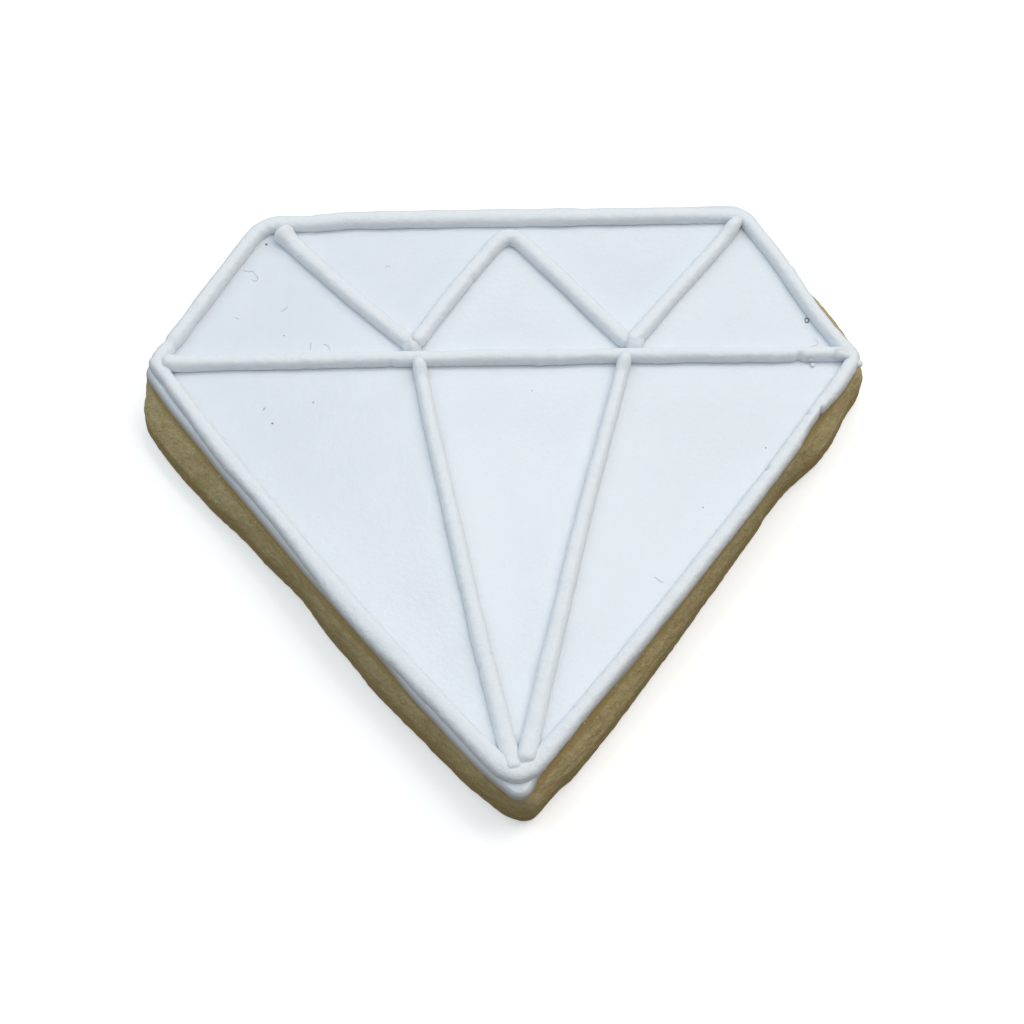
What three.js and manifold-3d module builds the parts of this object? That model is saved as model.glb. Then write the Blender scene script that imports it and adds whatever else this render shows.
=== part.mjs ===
// Iced sugar cookie cut as a gem: a baked biscuit, a flooded sheet of icing on it, and piped
// icing lines on the sheet that draw its border and its facets.
// Millimetres, +Z up. The underside lies on Z = 0 and the tip of the gem points to -Y.
// The origin is the middle of the footprint.
import Module from 'manifold-3d';
import * as THREE from 'three';

const wasm = await Module();
wasm.setup();

// ---- driving dimensions ----

// Layers, from the underside up
const BISCUIT_HEIGHT = 8.0;
const FLOOD_HEIGHT = 2.0;
const FLOOD_TOP = BISCUIT_HEIGHT + FLOOD_HEIGHT;

// Biscuit edge: a rounded foot, an upright wall and a shoulder that slopes in to the icing.
// Up to the shoulder, each height stands in from the outline by its inset.
const BISCUIT_WALL = [
  { height: 0, inset: 0.8 },
  { height: 0.3, inset: 0.2 },
  { height: 1.0, inset: 0 },
  { height: 4.6, inset: 0 },
];
const SHOULDER_START = BISCUIT_WALL.at(-1).height;
const SHOULDER_STEPS = 4;
const WAVES_ROUND_EDGE = 7;
const WAVE_DEPTH = 0.35;
const WAVE_SHIFT = 1.3;

// Icing sheet edge: how far each height stands in from the outline
const FLOOD_EDGE = [
  { above: 0, inset: 0.15 },
  { above: 0.6, inset: 0 },
  { above: 1.3, inset: 0.1 },
  { above: 1.75, inset: 0.4 },
  { above: 2.0, inset: 0.9 },
];

// Piped lines: half-oval in section, flat on the sheet
const LINE_HEIGHT = 1.6;
const BORDER_WIDTH = 2.0;
const SECTION_STEPS = 6;
const LINE_STEP = 3.0;
const END_ANGLES = [20, 45, 70];
const PIECE_GAP = 0.3;

// Steps along one side and round one corner of an outline
const SIDE_STEPS = 14;
const CORNER_STEPS = 5;

// Outlines, counter-clockwise from the left. Each corner has the radius of its rounding and
// the outward bow of the side that follows it.
const BISCUIT_CORNERS = [
  { name: 'left', x: -48.8, y: 13.6, round: 7, bow: 0 },
  { name: 'tip', x: 0.4, y: -45.7, round: 5.5, bow: -0.1 },
  { name: 'right', x: 47.9, y: 17.5, round: 4, bow: 0 },
  { name: 'table right', x: 33.4, y: 41.6, round: 5, bow: 0.2 },
  { name: 'table left', x: -32.8, y: 41.2, round: 6, bow: 0 },
];
const FLOOD_CORNERS = [
  { name: 'left', x: -47.3, y: 16.9, round: 2, bow: 1.5 },
  { name: 'tip', x: 0.1, y: -43.1, round: 2.4, bow: 0.4 },
  { name: 'right', x: 46.1, y: 17.3, round: 2, bow: 0 },
  { name: 'table right', x: 32.2, y: 41.7, round: 4, bow: 0.2 },
  { name: 'table left', x: -32.2, y: 40.3, round: 5.5, bow: 0 },
];
const BORDER_CORNERS = [
  { name: 'left', x: -45.5, y: 17.5, round: 1.4, bow: 1.2 },
  { name: 'tip', x: -0.1, y: -40.7, round: 3, bow: 0.8 },
  { name: 'right', x: 45.2, y: 17.3, round: 1.4, bow: 0 },
  { name: 'table right', x: 31.8, y: 39.4, round: 2.2, bow: 0.2 },
  { name: 'table left', x: -31.8, y: 38.9, round: 5.5, bow: 0 },
];

// Facet lines, each one stroke: its corners in the order it was piped, and its width at the
// start and at the end. A bow is to the right of the way the stroke runs.
const GIRDLE = {
  corners: [{ x: -44.6, y: 17.4, bow: -0.25 }, { x: 45.0, y: 18.0 }],
  widths: [2.1, 2.0],
};
const CROWN_PEAK = {
  corners: [
    { x: -11.6, y: 20.7, bow: -0.2 },
    { x: 0.5, y: 37.5, round: 2.4, bow: 0 },
    { x: 15.2, y: 20.5 },
  ],
  widths: [1.9, 2.1],
};
const CROWN_LEFT = {
  corners: [{ x: -29.8, y: 37.4, bow: 0.35 }, { x: -12.4, y: 19.8 }],
  widths: [2.2, 1.9],
};
const CROWN_RIGHT = {
  corners: [{ x: 16.4, y: 20.5, bow: 0 }, { x: 31.4, y: 38.6 }],
  widths: [2.1, 1.8],
};
const PAVILION_RIGHT = {
  corners: [{ x: 15.6, y: 19.1, bow: 0.3 }, { x: 1.0, y: -37.4 }],
  widths: [1.75, 2.3],
};
const PAVILION_LEFT = {
  corners: [{ x: -11.8, y: 18.0, bow: 0.3 }, { x: -0.8, y: -38.3 }],
  widths: [1.8, 2.25],
};

// ---- outlines and routes ----

// Control point of a side that bows by the given amount to the right of its run
function sideControl(from, to, bow) {
  const along = to.clone().sub(from).normalize();
  const right = new THREE.Vector2(along.y, -along.x);
  return from.clone().add(to).multiplyScalar(0.5).addScaledVector(right, 2 * bow);
}

// Distance from a corner, along both its sides, at which its rounding begins
function roundingReach(corner, towardsA, towardsB, radius) {
  const a = towardsA.clone().sub(corner).normalize();
  const b = towardsB.clone().sub(corner).normalize();
  return radius / Math.tan(Math.acos(a.dot(b)) / 2);
}

// The curves of a route through its corners: bowed sides joined by smooth roundings
function routeCurves(corners, closed) {
  const points = corners.map((corner) => new THREE.Vector2(corner.x, corner.y));
  const count = points.length;
  const sides = closed ? count : count - 1;
  const controls = [];
  for (let i = 0; i < sides; i += 1) {
    controls.push(sideControl(points[i], points[(i + 1) % count], corners[i].bow));
  }
  const reachAt = (i) => {
    if (!closed && (i === 0 || i === count - 1)) {
      return 0;
    }
    const before = controls[(i - 1 + sides) % sides];
    return roundingReach(points[i], before, controls[i % sides], corners[i].round);
  };
  const leave = (i, control) => {
    const away = control.clone().sub(points[i]).normalize();
    return points[i].clone().addScaledVector(away, reachAt(i));
  };
  const curves = [];
  for (let i = 0; i < sides; i += 1) {
    if (closed || i > 0) {
      const before = controls[(i - 1 + sides) % sides];
      const rounding = new THREE.QuadraticBezierCurve(
        leave(i, before), points[i], leave(i, controls[i]));
      curves.push({ curve: rounding, isCorner: true });
    }
    const side = new THREE.QuadraticBezierCurve(
      leave(i, controls[i]), controls[i], leave((i + 1) % count, controls[i]));
    curves.push({ curve: side, isCorner: false });
  }
  return curves;
}

// One station of a route: its place and the direction in which the route runs there
function stationOn(curve, t) {
  return { point: curve.getPoint(t), along: curve.getTangent(t) };
}

// Stations round a closed outline, the same number for every outline of five corners
function outlineStations(corners) {
  const stations = [];
  for (const { curve, isCorner } of routeCurves(corners, true)) {
    const steps = isCorner ? CORNER_STEPS : SIDE_STEPS;
    for (let i = 0; i < steps; i += 1) {
      stations.push(stationOn(curve, i / steps));
    }
  }
  return stations;
}

// Stations along an open stroke, each with its distance from the start
function strokeStations(corners) {
  const stations = [];
  let travelled = 0;
  for (const { curve, isCorner } of routeCurves(corners, false)) {
    const length = curve.getLength();
    const steps = isCorner ? CORNER_STEPS : Math.ceil(length / LINE_STEP);
    for (let i = 0; i < steps; i += 1) {
      stations.push({ ...stationOn(curve, i / steps), distance: travelled + (i / steps) * length });
    }
    travelled += length;
  }
  const last = routeCurves(corners, false).at(-1).curve;
  stations.push({ ...stationOn(last, 1), distance: travelled });
  return stations;
}

// ---- solids ----

// A closed solid through rings of points. The first and last rings are covered, or joined to
// each other where the solid runs round to its own start.
function loft(rings, joined) {
  const size = rings[0].length;
  const vertices = rings.flat();
  const triangles = [];
  const spans = joined ? rings.length : rings.length - 1;
  for (let j = 0; j < spans; j += 1) {
    const low = j * size;
    const high = ((j + 1) % rings.length) * size;
    for (let i = 0; i < size; i += 1) {
      const next = (i + 1) % size;
      triangles.push([low + i, low + next, high + next], [low + i, high + next, high + i]);
    }
  }
  if (!joined) {
    const cover = (ring, start, outward) => {
      const middle = ring.reduce((sum, p) => sum.add(p), new THREE.Vector3());
      vertices.push(middle.divideScalar(ring.length));
      for (let i = 0; i < size; i += 1) {
        const pair = [start + i, start + ((i + 1) % size)];
        triangles.push([...(outward ? pair : pair.reverse()), vertices.length - 1]);
      }
    };
    cover(rings[0], 0, false);
    cover(rings.at(-1), (rings.length - 1) * size, true);
  }
  return new wasm.Manifold(new wasm.Mesh({
    numProp: 3,
    vertProperties: new Float32Array(vertices.flatMap((p) => [p.x, p.y, p.z])),
    triVerts: new Uint32Array(triangles.flat()),
  }));
}

// Ring at one height, moved in from an outline by the same amount all round
function insetRing(stations, inset, z) {
  return stations.map(({ point, along }) => (
    new THREE.Vector3(point.x - along.y * inset, point.y + along.x * inset, z)));
}

// The biscuit: its cut edge wavers gently, and its shoulder runs in to the edge of the icing
function biscuitSolid() {
  const edge = outlineStations(BISCUIT_CORNERS);
  const icing = insetRing(outlineStations(FLOOD_CORNERS), 0, BISCUIT_HEIGHT);
  edge.forEach((station, i) => {
    const turn = (2 * Math.PI * i) / edge.length;
    const wave = WAVE_DEPTH * Math.sin(WAVES_ROUND_EDGE * turn + WAVE_SHIFT);
    station.point.add(new THREE.Vector2(station.along.y, -station.along.x).multiplyScalar(wave));
  });
  const rings = BISCUIT_WALL.map(({ height, inset }) => insetRing(edge, inset, height));
  const wall = rings.at(-1);
  for (let step = 1; step <= SHOULDER_STEPS; step += 1) {
    const turn = (Math.PI / 2) * (step / SHOULDER_STEPS);
    const ring = wall.map((point, i) => point.clone().lerp(icing[i], 1 - Math.cos(turn)));
    const z = SHOULDER_START + (BISCUIT_HEIGHT - SHOULDER_START) * Math.sin(turn);
    ring.forEach((point) => point.setZ(z));
    rings.push(ring);
  }
  return loft(rings, false);
}

// The flooded sheet of icing, with its edge bulging a little and rounded over at the top
function floodSolid() {
  const stations = outlineStations(FLOOD_CORNERS);
  const rings = FLOOD_EDGE.map(({ above, inset }) => (
    insetRing(stations, inset, BISCUIT_HEIGHT + above)));
  return loft(rings, false);
}

// Section of a piped line across its run. Growing it leaves room for the gap to a neighbour.
function lineSection({ point, along }, width, scale, grow) {
  const ring = [];
  for (let i = 0; i <= SECTION_STEPS; i += 1) {
    const turn = (Math.PI * i) / SECTION_STEPS;
    const across = Math.cos(turn) * scale * (width / 2 + grow);
    const up = Math.sin(turn) * scale * (LINE_HEIGHT + grow);
    ring.push(new THREE.Vector3(
      point.x - along.y * across, point.y + along.x * across, FLOOD_TOP + up));
  }
  if (grow > 0) {
    ring[0].z -= grow;
    ring.at(-1).z -= grow;
  }
  return ring;
}

// The border: one line piped all the way round
function borderSolid(grow = 0) {
  const stations = outlineStations(BORDER_CORNERS);
  return loft(stations.map((station) => lineSection(station, BORDER_WIDTH, 1, grow)), true);
}

// One facet line with both its ends rounded
function strokeSolid({ corners, widths }, grow = 0) {
  const stations = strokeStations(corners);
  const length = stations.at(-1).distance;
  const reach = widths[0] / 2 + grow;
  const widthAt = (distance) => THREE.MathUtils.lerp(widths[0], widths[1], distance / length);
  const endRing = (station, angle, sign) => {
    const turn = THREE.MathUtils.degToRad(angle);
    const moved = station.point.clone().addScaledVector(station.along, sign * reach * Math.cos(turn));
    const width = widthAt(station.distance);
    return lineSection({ point: moved, along: station.along }, width, Math.sin(turn), grow);
  };
  const rings = [
    ...END_ANGLES.map((angle) => endRing(stations[0], angle, -1)),
    ...stations.map((station) => lineSection(station, widthAt(station.distance), 1, grow)),
    ...END_ANGLES.toReversed().map((angle) => endRing(stations.at(-1), angle, 1)),
  ];
  return loft(rings, false);
}

// A facet line cut back from the lines that it runs up to
function trimmedStroke(stroke, neighbours) {
  let solid = strokeSolid(stroke);
  for (const neighbour of neighbours) {
    solid = solid.subtract(neighbour);
  }
  const parts = solid.decompose();
  return parts.reduce((best, part) => (part.volume() > best.volume() ? part : best));
}

// ---- scene ----

const BISCUIT_FINISH = { color: 0xb49b6c, roughness: 0.9, metalness: 0 };
const FLOOD_FINISH = { color: 0xf1f3f6, roughness: 0.45, metalness: 0 };
const PIPED_FINISH = { color: 0xeceff1, roughness: 0.55, metalness: 0 };

// A named mesh from a solid
function mesh(name, solid, finish) {
  const { vertProperties, triVerts } = solid.getMesh();
  const geometry = new THREE.BufferGeometry();
  geometry.setAttribute('position', new THREE.BufferAttribute(vertProperties, 3));
  geometry.setIndex(new THREE.BufferAttribute(triVerts, 1));
  geometry.computeVertexNormals();
  const piece = new THREE.Mesh(geometry, new THREE.MeshStandardMaterial(finish));
  piece.name = name;
  return piece;
}

// The whole cookie, with its footprint centred on the origin
function buildCookie() {
  const aroundBorder = borderSolid(PIECE_GAP);
  const aroundGirdle = strokeSolid(GIRDLE, PIECE_GAP);
  const aroundPeak = strokeSolid(CROWN_PEAK, PIECE_GAP);
  const aroundRight = strokeSolid(PAVILION_RIGHT, PIECE_GAP);
  const frame = [aroundBorder, aroundGirdle];
  const lines = {
    piped_border: borderSolid(),
    piped_girdle: trimmedStroke(GIRDLE, [aroundBorder]),
    piped_crown_peak: trimmedStroke(CROWN_PEAK, frame),
    piped_crown_left: trimmedStroke(CROWN_LEFT, [...frame, aroundPeak]),
    piped_crown_right: trimmedStroke(CROWN_RIGHT, [...frame, aroundPeak]),
    piped_pavilion_right: trimmedStroke(PAVILION_RIGHT, [...frame, aroundPeak]),
    piped_pavilion_left: trimmedStroke(PAVILION_LEFT, [...frame, aroundPeak, aroundRight]),
  };
  const cookie = new THREE.Group();
  cookie.add(mesh('biscuit', biscuitSolid(), BISCUIT_FINISH));
  cookie.add(mesh('flood_icing', floodSolid(), FLOOD_FINISH));
  for (const [name, solid] of Object.entries(lines)) {
    cookie.add(mesh(name, solid, PIPED_FINISH));
  }
  const middle = new THREE.Box3().setFromObject(cookie).getCenter(new THREE.Vector3());
  cookie.position.set(-middle.x, -middle.y, 0);
  return cookie;
}

export default buildCookie();
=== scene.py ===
"""Iced sugar cookie cut as a gem: its looks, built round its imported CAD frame.

The biscuit, the flooded sheet of icing and every piped line are shaped on routes and outlines
taken from the frame. Lengths in the classes are millimetres, and the meshes are in metres, with
+Z up and the tip of the gem towards -Y.
"""
import logging
import math
from dataclasses import dataclass, field
from enum import Enum
from typing import Callable

import bmesh
import bpy
import numpy as np
from mathutils import Matrix, Vector, noise


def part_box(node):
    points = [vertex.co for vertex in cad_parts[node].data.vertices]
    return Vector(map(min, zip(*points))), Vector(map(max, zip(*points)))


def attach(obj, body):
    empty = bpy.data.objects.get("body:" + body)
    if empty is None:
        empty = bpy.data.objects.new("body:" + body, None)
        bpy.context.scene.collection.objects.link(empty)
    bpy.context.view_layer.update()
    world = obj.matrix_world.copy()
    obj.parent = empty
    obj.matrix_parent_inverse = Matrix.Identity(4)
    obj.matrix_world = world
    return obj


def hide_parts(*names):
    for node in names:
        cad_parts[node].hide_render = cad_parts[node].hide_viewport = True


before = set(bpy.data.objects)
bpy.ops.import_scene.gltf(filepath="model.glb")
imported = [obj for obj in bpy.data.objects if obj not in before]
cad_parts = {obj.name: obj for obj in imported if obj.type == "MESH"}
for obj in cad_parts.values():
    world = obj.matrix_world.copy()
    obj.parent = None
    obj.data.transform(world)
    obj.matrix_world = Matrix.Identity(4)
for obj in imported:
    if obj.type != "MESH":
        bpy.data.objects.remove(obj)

LOG = logging.getLogger("gem_cookie")

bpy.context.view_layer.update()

MM = 0.001
SEAM = 1e-6
BODY = "root"


def level(node: str, top: bool) -> float:
    """Height in mm of a node's underside or top."""
    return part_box(node)[1 if top else 0].z / MM


CREST_SPACING = 0.5
STROKE_SOFTEN = 1.2

BISCUIT_TOP = level("biscuit", top=True)
FLOOD_TOP = level("flood_icing", top=True)
PIPED_TOP = level("piped_border", top=True)


# ---- shaping tools ----

def swell(distance: float, reach: float) -> float:
    """Smooth hump: 1 where distance is 0, falling to 0 at reach."""
    share = min(1.0, abs(distance) / reach)
    return (1.0 - share * share) ** 2


def ease(low: float, high: float, value: float) -> float:
    """Smooth step from 0 at low to 1 at high."""
    share = min(1.0, max(0.0, (value - low) / (high - low)))
    return share * share * (3.0 - 2.0 * share)


def waver(x: float, y: float, z: float, size: float, seed: float) -> float:
    """Soft unevenness between about -1 and 1, with features of the given size in mm."""
    return noise.noise(Vector((x / size + seed, y / size - seed, z / size + 0.37 * seed)))


def left_of(heading: Vector) -> Vector:
    """Direction to the left of a heading, seen from above."""
    return Vector((-heading.y, heading.x))


@dataclass(frozen=True)
class Unevenness:
    """Soft unevenness: its height and the size of its features in mm, and its pattern."""

    height: float
    size: float
    seed: float

    def at(self, x: float, y: float, z: float = 0.0) -> float:
        """How far it lifts or lowers the surface at a place, in mm."""
        return self.height * waver(x, y, z, self.size, self.seed)


def node_points(node: str, height: float) -> np.ndarray:
    """Places on a CAD node at one height.

    Args:
        node: name of the CAD node.
        height: height in mm.

    Returns:
        One row of x and y in mm for each separate place.
    """
    near = 0.02
    places = {
        (round(v.co.x / MM, 2), round(v.co.y / MM, 2))
        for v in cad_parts[node].data.vertices
        if abs(v.co.z / MM - height) < near
    }
    return np.array(sorted(places))


class Route:
    """A smooth line seen from above, measured along its length in mm."""

    STEP = 0.1

    def __init__(self, points: np.ndarray, closed: bool, soften: float) -> None:
        """Lay the line through points.

        Args:
            points: x and y in mm, in order.
            closed: whether the line runs round to its own start.
            soften: length in mm over which its corners are smoothed.
        """
        self.closed = closed
        run = np.vstack([points, points[:1]]) if closed else points
        marks = np.concatenate([[0.0], np.cumsum(np.linalg.norm(np.diff(run, axis=0), axis=1))])
        count = round(marks[-1] / self.STEP)
        even = np.linspace(0.0, marks[-1], count + 1)
        line = np.column_stack([np.interp(even, marks, run[:, axis]) for axis in (0, 1)])
        reach = max(1, round(soften / self.STEP / 2))
        for _ in range(2):
            line = self._smoothed(line, reach)
        self._line = line
        steps = np.linalg.norm(np.diff(line, axis=0), axis=1)
        self._marks = np.concatenate([[0.0], np.cumsum(steps)])
        self.length = float(self._marks[-1])

    def _smoothed(self, line: np.ndarray, reach: int) -> np.ndarray:
        """Average each point with its neighbours.

        Args:
            line: points at even steps.
            reach: how many neighbours on each side take part.

        Returns:
            The same number of points. An open line keeps both its ends.
        """
        if self.closed:
            ahead, behind = line[1:reach + 1], line[-reach - 1:-1]
        else:
            ahead = 2 * line[-1] - line[-reach - 1:-1][::-1]
            behind = 2 * line[0] - line[1:reach + 1][::-1]
        padded = np.vstack([behind, line, ahead])
        window = np.ones(2 * reach + 1) / (2 * reach + 1)
        return np.column_stack([np.convolve(padded[:, axis], window, "valid") for axis in (0, 1)])

    def point(self, distance: float) -> Vector:
        """Place in mm at a distance along the line."""
        if self.closed:
            distance %= self.length
        return Vector([float(np.interp(distance, self._marks, self._line[:, k])) for k in (0, 1)])

    def heading(self, distance: float) -> Vector:
        """Unit direction in which the line runs at a distance along it."""
        low, high = distance - 2 * self.STEP, distance + 2 * self.STEP
        if not self.closed:
            low, high = max(0.0, low), min(self.length, high)
        return (self.point(high) - self.point(low)).normalized()

    def nearest(self, spot: Vector) -> Vector:
        """Place on the line nearest to another place."""
        gaps = np.hypot(self._line[:, 0] - spot.x, self._line[:, 1] - spot.y)
        near = self._line[int(np.argmin(gaps))]
        return Vector((float(near[0]), float(near[1])))


@dataclass(frozen=True)
class Bulge:
    """A place where an edge stands out, or draws in where out is negative.

    It is at a share of the way round, and its reach and how far it stands out are in mm.
    """

    at: float
    reach: float
    out: float

    def push(self, distance: float, length: float) -> float:
        """How far the edge moves at a distance round an outline of some length."""
        gap = (distance - self.at * length + length / 2) % length - length / 2
        return self.out * swell(gap, self.reach)


@dataclass(frozen=True)
class Ring:
    """Even steps round an outline, before and after its bulges push it."""

    plain: list[Vector]
    pushed: list[Vector]
    outward: list[Vector]
    middle: Vector


def ring_of(route: Route, step: float, bulges: tuple[Bulge, ...]) -> Ring:
    """Step round an outline.

    Args:
        route: the outline.
        step: length in mm of one step.
        bulges: where the outline is pushed out or in.

    Returns:
        The steps, counter-clockwise.
    """
    columns = round(route.length / step)
    marks = [route.length * i / columns for i in range(columns)]
    plain = [route.point(mark) for mark in marks]
    outward = [Vector((ahead.y, -ahead.x)) for ahead in map(route.heading, marks)]
    pushed = []
    for mark, spot, out in zip(marks, plain, outward):
        pushed.append(spot + out * sum(bulge.push(mark, route.length) for bulge in bulges))
    return Ring(plain, pushed, outward, sum(plain, Vector((0.0, 0.0))) / columns)


def outline(node: str, height: float, soften: float) -> Route:
    """Outline of a CAD node at one height.

    Args:
        node: name of the CAD node.
        height: height in mm.
        soften: length in mm over which corners are smoothed.

    Returns:
        A closed line that starts at the gem's left corner and runs counter-clockwise.
    """
    points = node_points(node, height)
    middle = points.mean(axis=0)
    angles = np.arctan2(points[:, 1] - middle[1], points[:, 0] - middle[0])
    ring = points[np.argsort(angles)]
    ring = np.roll(ring, -int(np.argmin(ring[:, 0])), axis=0)
    return Route(ring, closed=True, soften=soften)


def stroke_route(node: str, towards: tuple[float, float], reach: tuple[float, float]) -> Route:
    """Line along the crest of a piped CAD node.

    Args:
        node: name of the CAD node.
        towards: rough direction in which the line was piped.
        reach: how far in mm it runs on past the node's two ends.

    Returns:
        An open line from the first end piped to the last.
    """
    crest = node_points(node, PIPED_TOP)
    crest = crest[np.argsort(crest @ np.array(towards))]
    spaced = [crest[0]]
    for place in crest[1:]:
        if np.linalg.norm(place - spaced[-1]) > CREST_SPACING:
            spaced.append(place)
    line = np.array(spaced)
    start, finish = line[0] - line[1], line[-1] - line[-2]
    first = line[0] + start / np.linalg.norm(start) * reach[0]
    last = line[-1] + finish / np.linalg.norm(finish) * reach[1]
    return Route(np.vstack([first, line, last]), closed=False, soften=STROKE_SOFTEN)


def lay_on(skin: bmesh.types.BMesh, columns: int, rows: int,
           place: Callable[[int, int], Vector]) -> None:
    """Lay a grid over a form and close its seams and poles.

    Args:
        skin: mesh in metres that takes the closed form, with its faces outward.
        columns: steps across the grid.
        rows: steps up the grid.
        place: gives the place in mm of a column and row.
    """
    half = 0.5
    laid = bmesh.ops.create_grid(skin, x_segments=columns, y_segments=rows, size=half)["verts"]
    for vertex in laid:
        column = round((vertex.co.x + half) * columns)
        row = round((vertex.co.y + half) * rows)
        vertex.co = place(column, row) * MM
    bmesh.ops.remove_doubles(skin, verts=laid, dist=SEAM)
    bmesh.ops.recalc_face_normals(skin, faces=skin.faces)


def laid_skin(columns: int, rows: int, place: Callable[[int, int], Vector]) -> bmesh.types.BMesh:
    """Lay a grid over a form as a new closed mesh in metres."""
    skin = bmesh.new()
    lay_on(skin, columns, rows, place)
    return skin


def piece(name: str, mesh: bmesh.types.BMesh, finish: bpy.types.Material) -> bpy.types.Object:
    """Turn a finished mesh into a smooth-shaded piece of the cookie.

    Args:
        name: name of the piece.
        mesh: its shape, which is used up.
        finish: its material.

    Returns:
        The piece, riding on the cookie's body.
    """
    data = bpy.data.meshes.new(name)
    mesh.to_mesh(data)
    mesh.free()
    data.shade_smooth()
    data.materials.append(finish)
    made = bpy.data.objects.new(name, data)
    bpy.context.scene.collection.objects.link(made)
    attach(made, BODY)
    LOG.info("%s: %d vertices", name, len(data.vertices))
    return made


# ---- finishes ----

class Wiring:
    """Places nodes in a tree and joins them up."""

    def __init__(self, tree: bpy.types.NodeTree) -> None:
        """Start on a node tree, which is emptied."""
        self.tree = tree
        tree.nodes.clear()

    def node(self, kind: str, links: dict[str, object], **settings: object) -> bpy.types.Node:
        """Add a node.

        Args:
            kind: its type name.
            links: for each input, a value to set or another node's output to join.
            settings: properties of the node itself.

        Returns:
            The node.
        """
        made = self.tree.nodes.new(kind)
        for name, value in settings.items():
            setattr(made, name, value)
        for name, value in links.items():
            socket = made.inputs[int(name)] if name.isdigit() else made.inputs[name]
            if isinstance(value, bpy.types.NodeSocket):
                self.tree.links.new(value, socket)
            else:
                socket.default_value = value
        return made

    def noise(self, where: bpy.types.NodeSocket, size: float, detail: float) -> bpy.types.NodeSocket:
        """Soft noise with features of a size in mm, as a value from 0 to 1."""
        made = self.node("ShaderNodeTexNoise",
                         {"Vector": where, "Scale": 1 / (size * MM), "Detail": detail})
        return made.outputs["Fac"]

    def spread(self, value: object, low: float, high: float, to_low: float = 0.0,
               to_high: float = 1.0) -> bpy.types.NodeSocket:
        """Map a value from one range to another, held at both ends."""
        made = self.node("ShaderNodeMapRange", {
            "Value": value, "From Min": low, "From Max": high,
            "To Min": to_low, "To Max": to_high})
        return made.outputs["Result"]

    def math(self, how: str, a: object, b: object) -> bpy.types.NodeSocket:
        """Combine two values."""
        return self.node("ShaderNodeMath", {"0": a, "1": b}, operation=how).outputs[0]

    def blend(self, share: object, a: object, b: object) -> bpy.types.NodeSocket:
        """Mix two colours."""
        made = self.node("ShaderNodeMix", {"0": share, "6": a, "7": b}, data_type="RGBA")
        return made.outputs[2]

    def height_of(self, where: bpy.types.NodeSocket) -> bpy.types.NodeSocket:
        """Z of a place, in metres."""
        return self.node("ShaderNodeSeparateXYZ", {"Vector": where}).outputs["Z"]


    def grained(self, group: bpy.types.NodeTree, where: bpy.types.NodeSocket,
                size: float) -> bpy.types.Node:
        """Place the shared grain group, with grains of a size in mm."""
        made = self.node("ShaderNodeGroup", {}, node_tree=group)
        self.tree.links.new(where, made.inputs["Place"])
        made.inputs["Fineness"].default_value = 1 / (size * MM)
        return made

    def relief(self, height: bpy.types.NodeSocket, depth: float) -> bpy.types.NodeSocket:
        """Turn a height into a normal, with relief of a depth in mm."""
        made = self.node("ShaderNodeBump", {
            "Height": height, "Distance": depth * MM, "Strength": 1.0})
        return made.outputs["Normal"]


Colour = tuple[float, float, float]


def start_finish(name: str) -> tuple[bpy.types.Material, Wiring]:
    """Make a material with an empty node tree, and the wiring that fills it."""
    material = bpy.data.materials.new(name)
    material.use_nodes = True
    return material, Wiring(material.node_tree)


def opaque(colour: Colour) -> tuple[float, float, float, float]:
    """A colour with full alpha."""
    return (*colour, 1.0)


@dataclass(frozen=True)
class CloseGrain:
    """The grain that set icing and baked crumb share, each at its own size."""

    name: str = "close_grain"
    coarser: float = 0.27
    broadest: float = 0.05
    coarse_relief: float = 1.4
    fine_tone: float = 0.4
    coarse_tone: float = 0.35
    broad_tone: float = 0.25

    def build(self) -> bpy.types.NodeTree:
        """Make the group.

        Returns:
            A group that turns a place and a grain size into a height and a mottling mask.
        """
        tree = bpy.data.node_groups.new(self.name, "ShaderNodeTree")
        for name, kind in (("Place", "Vector"), ("Fineness", "Float")):
            tree.interface.new_socket(name, in_out="INPUT", socket_type="NodeSocket" + kind)
        for name in ("Height", "Mottle"):
            tree.interface.new_socket(name, in_out="OUTPUT", socket_type="NodeSocketFloat")
        wiring = Wiring(tree)
        given = wiring.node("NodeGroupInput", {})
        fineness = given.outputs["Fineness"]

        def grains(scale: object, detail: float) -> bpy.types.NodeSocket:
            """Noise over the place at one scale."""
            made = wiring.node("ShaderNodeTexNoise", {
                "Vector": given.outputs["Place"], "Scale": scale, "Detail": detail})
            return made.outputs["Fac"]

        fine = grains(fineness, 3.0)
        coarse = grains(wiring.math("MULTIPLY", fineness, self.coarser), 2.0)
        broad = grains(wiring.math("MULTIPLY", fineness, self.broadest), 2.0)
        height = wiring.math("ADD", fine, wiring.math("MULTIPLY", coarse, self.coarse_relief))
        near = wiring.math("ADD", wiring.math("MULTIPLY", fine, self.fine_tone),
                           wiring.math("MULTIPLY", coarse, self.coarse_tone))
        mottle = wiring.math("ADD", near, wiring.math("MULTIPLY", broad, self.broad_tone))
        wiring.node("NodeGroupOutput", {"Height": height, "Mottle": mottle})
        return tree


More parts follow.
